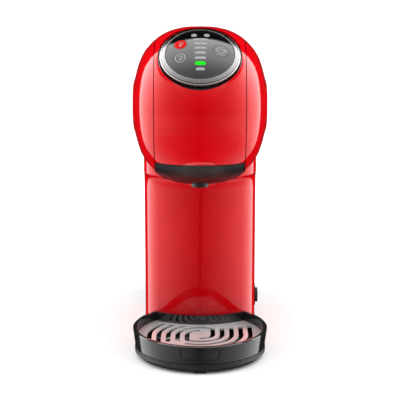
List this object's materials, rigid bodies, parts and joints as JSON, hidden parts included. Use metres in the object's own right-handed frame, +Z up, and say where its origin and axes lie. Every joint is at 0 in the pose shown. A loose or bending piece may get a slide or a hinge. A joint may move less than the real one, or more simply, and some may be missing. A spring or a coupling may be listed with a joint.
{
  "type": "pod coffee machine",
  "caption": "Tall narrow pod coffee machine: red drum head with a dial on its lifting lid, column, pod drawer, drip tray with slotted grid and rear water tank.",
  "frame": {"origin": "centre of the bounding box, on the surface that the machine stands on", "axes": "+Z up, -Y towards the user and the drip tray, +X to the right as seen by the user"},
  "size_m": [0.1124, 0.288, 0.2721],
  "materials": {
    "red_gloss": "high gloss moulded",
    "black_gloss": "high gloss moulded",
    "black_matte": "fine texture",
    "grey_plastic": "moulded",
    "display_black": "domed, polished",
    "tank_clear": "smoked, clear",
    "ring_metal": "satin turned, knurled edge",
    "polished_steel": "polished",
    "steel": "drawn",
    "cast_alloy": "as cast",
    "rubber": "soft",
    "silicone": "translucent soft",
    "circuit": "board"
  },
  "bodies": {
    "root": {"base_plate": "black_matte", "rubber_feet": "rubber", "base_screws": "steel", "column_cover": "red_gloss", "right_head_panel": "red_gloss", "left_head_panel": "red_gloss", "top_rear_cover": "red_gloss", "rear_panel": "black_matte", "lid_hinge_pin": "steel", "brew_frame": "black_matte", "frame_brackets": "steel", "holder_rails": "black_matte", "riser_pipe": "steel", "thermoblock": "cast_alloy", "thermostats": "steel", "block_posts": "grey_plastic", "pump_body": "grey_plastic", "pump_spring": "steel", "pump_mounts": "rubber", "flow_meter": "grey_plastic", "suction_hose": "silicone", "pressure_hose": "silicone", "control_board": "circuit", "board_parts": "black_matte", "board_posts": "grey_plastic", "cord_gland": "rubber", "tank_dock": "black_matte"},
    "lid": {"lid_cover": "red_gloss", "lid_liner": "black_matte", "dial_seat": "black_gloss", "display_carrier": "grey_plastic", "display_glass": "display_black", "display_board": "circuit", "light_guide": "grey_plastic"},
    "dial": {"dial_ring": "ring_metal"},
    "temperature_button": {"temperature_key": "display_black"},
    "boost_button": {"boost_key": "display_black"},
    "brew_button": {"brew_key": "display_black"},
    "injector": {"injector_head": "grey_plastic", "pod_seal": "silicone", "injector_needle": "steel"},
    "pod_drawer": {"pod_holder": "black_gloss", "pod_cup": "grey_plastic"},
    "piston": {"pump_piston": "steel"},
    "tank": {"water_tank": "tank_clear", "tank_lid_pin": "steel"},
    "tank_flap": {"tank_lid": "black_gloss"},
    "valve": {"tank_valve": "silicone"},
    "tray": {"drip_tray": "black_gloss"},
    "grid": {"drip_grid": "polished_steel"}
  },
  "joints": [
    {"name": "lid_hinge", "type": "hinge", "parent": "root", "child": "lid", "pos_m": [0, -0.006, 0.24], "axis": [-1, 0, 0], "range_deg": [0, 55]},
    {"name": "dial_turn", "type": "hinge", "parent": "lid", "child": "dial", "pos_m": [0, -0.10598, 0.25305], "axis": [0, -0.6225, 0.7826], "continuous": true},
    {"name": "injector_lift", "type": "slide", "parent": "root", "child": "injector", "axis": [0, 0, 1], "range_m": [0, 0.008]},
    {"name": "pod_drawer_slide", "type": "slide", "parent": "root", "child": "pod_drawer", "axis": [0, -1, 0], "range_m": [0, 0.075]},
    {"name": "piston_stroke", "type": "slide", "parent": "root", "child": "piston", "axis": [0, -1, 0], "range_m": [0, 0.003], "stiffness_N_per_m": 1200},
    {"name": "tank_lift", "type": "slide", "parent": "root", "child": "tank", "axis": [0, 0, 1], "range_m": [0, 0.08]},
    {"name": "tank_lid_hinge", "type": "hinge", "parent": "tank", "child": "tank_flap", "pos_m": [0, 0.0572, 0.2366], "axis": [1, 0, 0], "range_deg": [0, 75]},
    {"name": "tank_valve_lift", "type": "slide", "parent": "tank", "child": "valve", "axis": [0, 0, 1], "range_m": [0, 0.003], "stiffness_N_per_m": 120},
    {"name": "tray_slide", "type": "slide", "parent": "root", "child": "tray", "axis": [0, -1, 0], "range_m": [0, 0.11]},
    {"name": "grid_lift", "type": "slide", "parent": "tray", "child": "grid", "axis": [0, 0, 1], "range_m": [0, 0.03]},
    {"name": "temperature_press", "type": "slide", "parent": "lid", "child": "temperature_button", "axis": [0, 0.6225, -0.7826], "range_m": [0, 0.0006], "stiffness_N_per_m": 700},
    {"name": "boost_press", "type": "slide", "parent": "lid", "child": "boost_button", "axis": [0, 0.6225, -0.7826], "range_m": [0, 0.0006], "stiffness_N_per_m": 700},
    {"name": "brew_press", "type": "slide", "parent": "lid", "child": "brew_button", "axis": [0, 0.6225, -0.7826], "range_m": [0, 0.0006], "stiffness_N_per_m": 700}
  ],
  "couplings": [
    {"joint": "injector_lift", "follows": "lid_hinge", "m_per_rad": 0.008333}
  ]
}
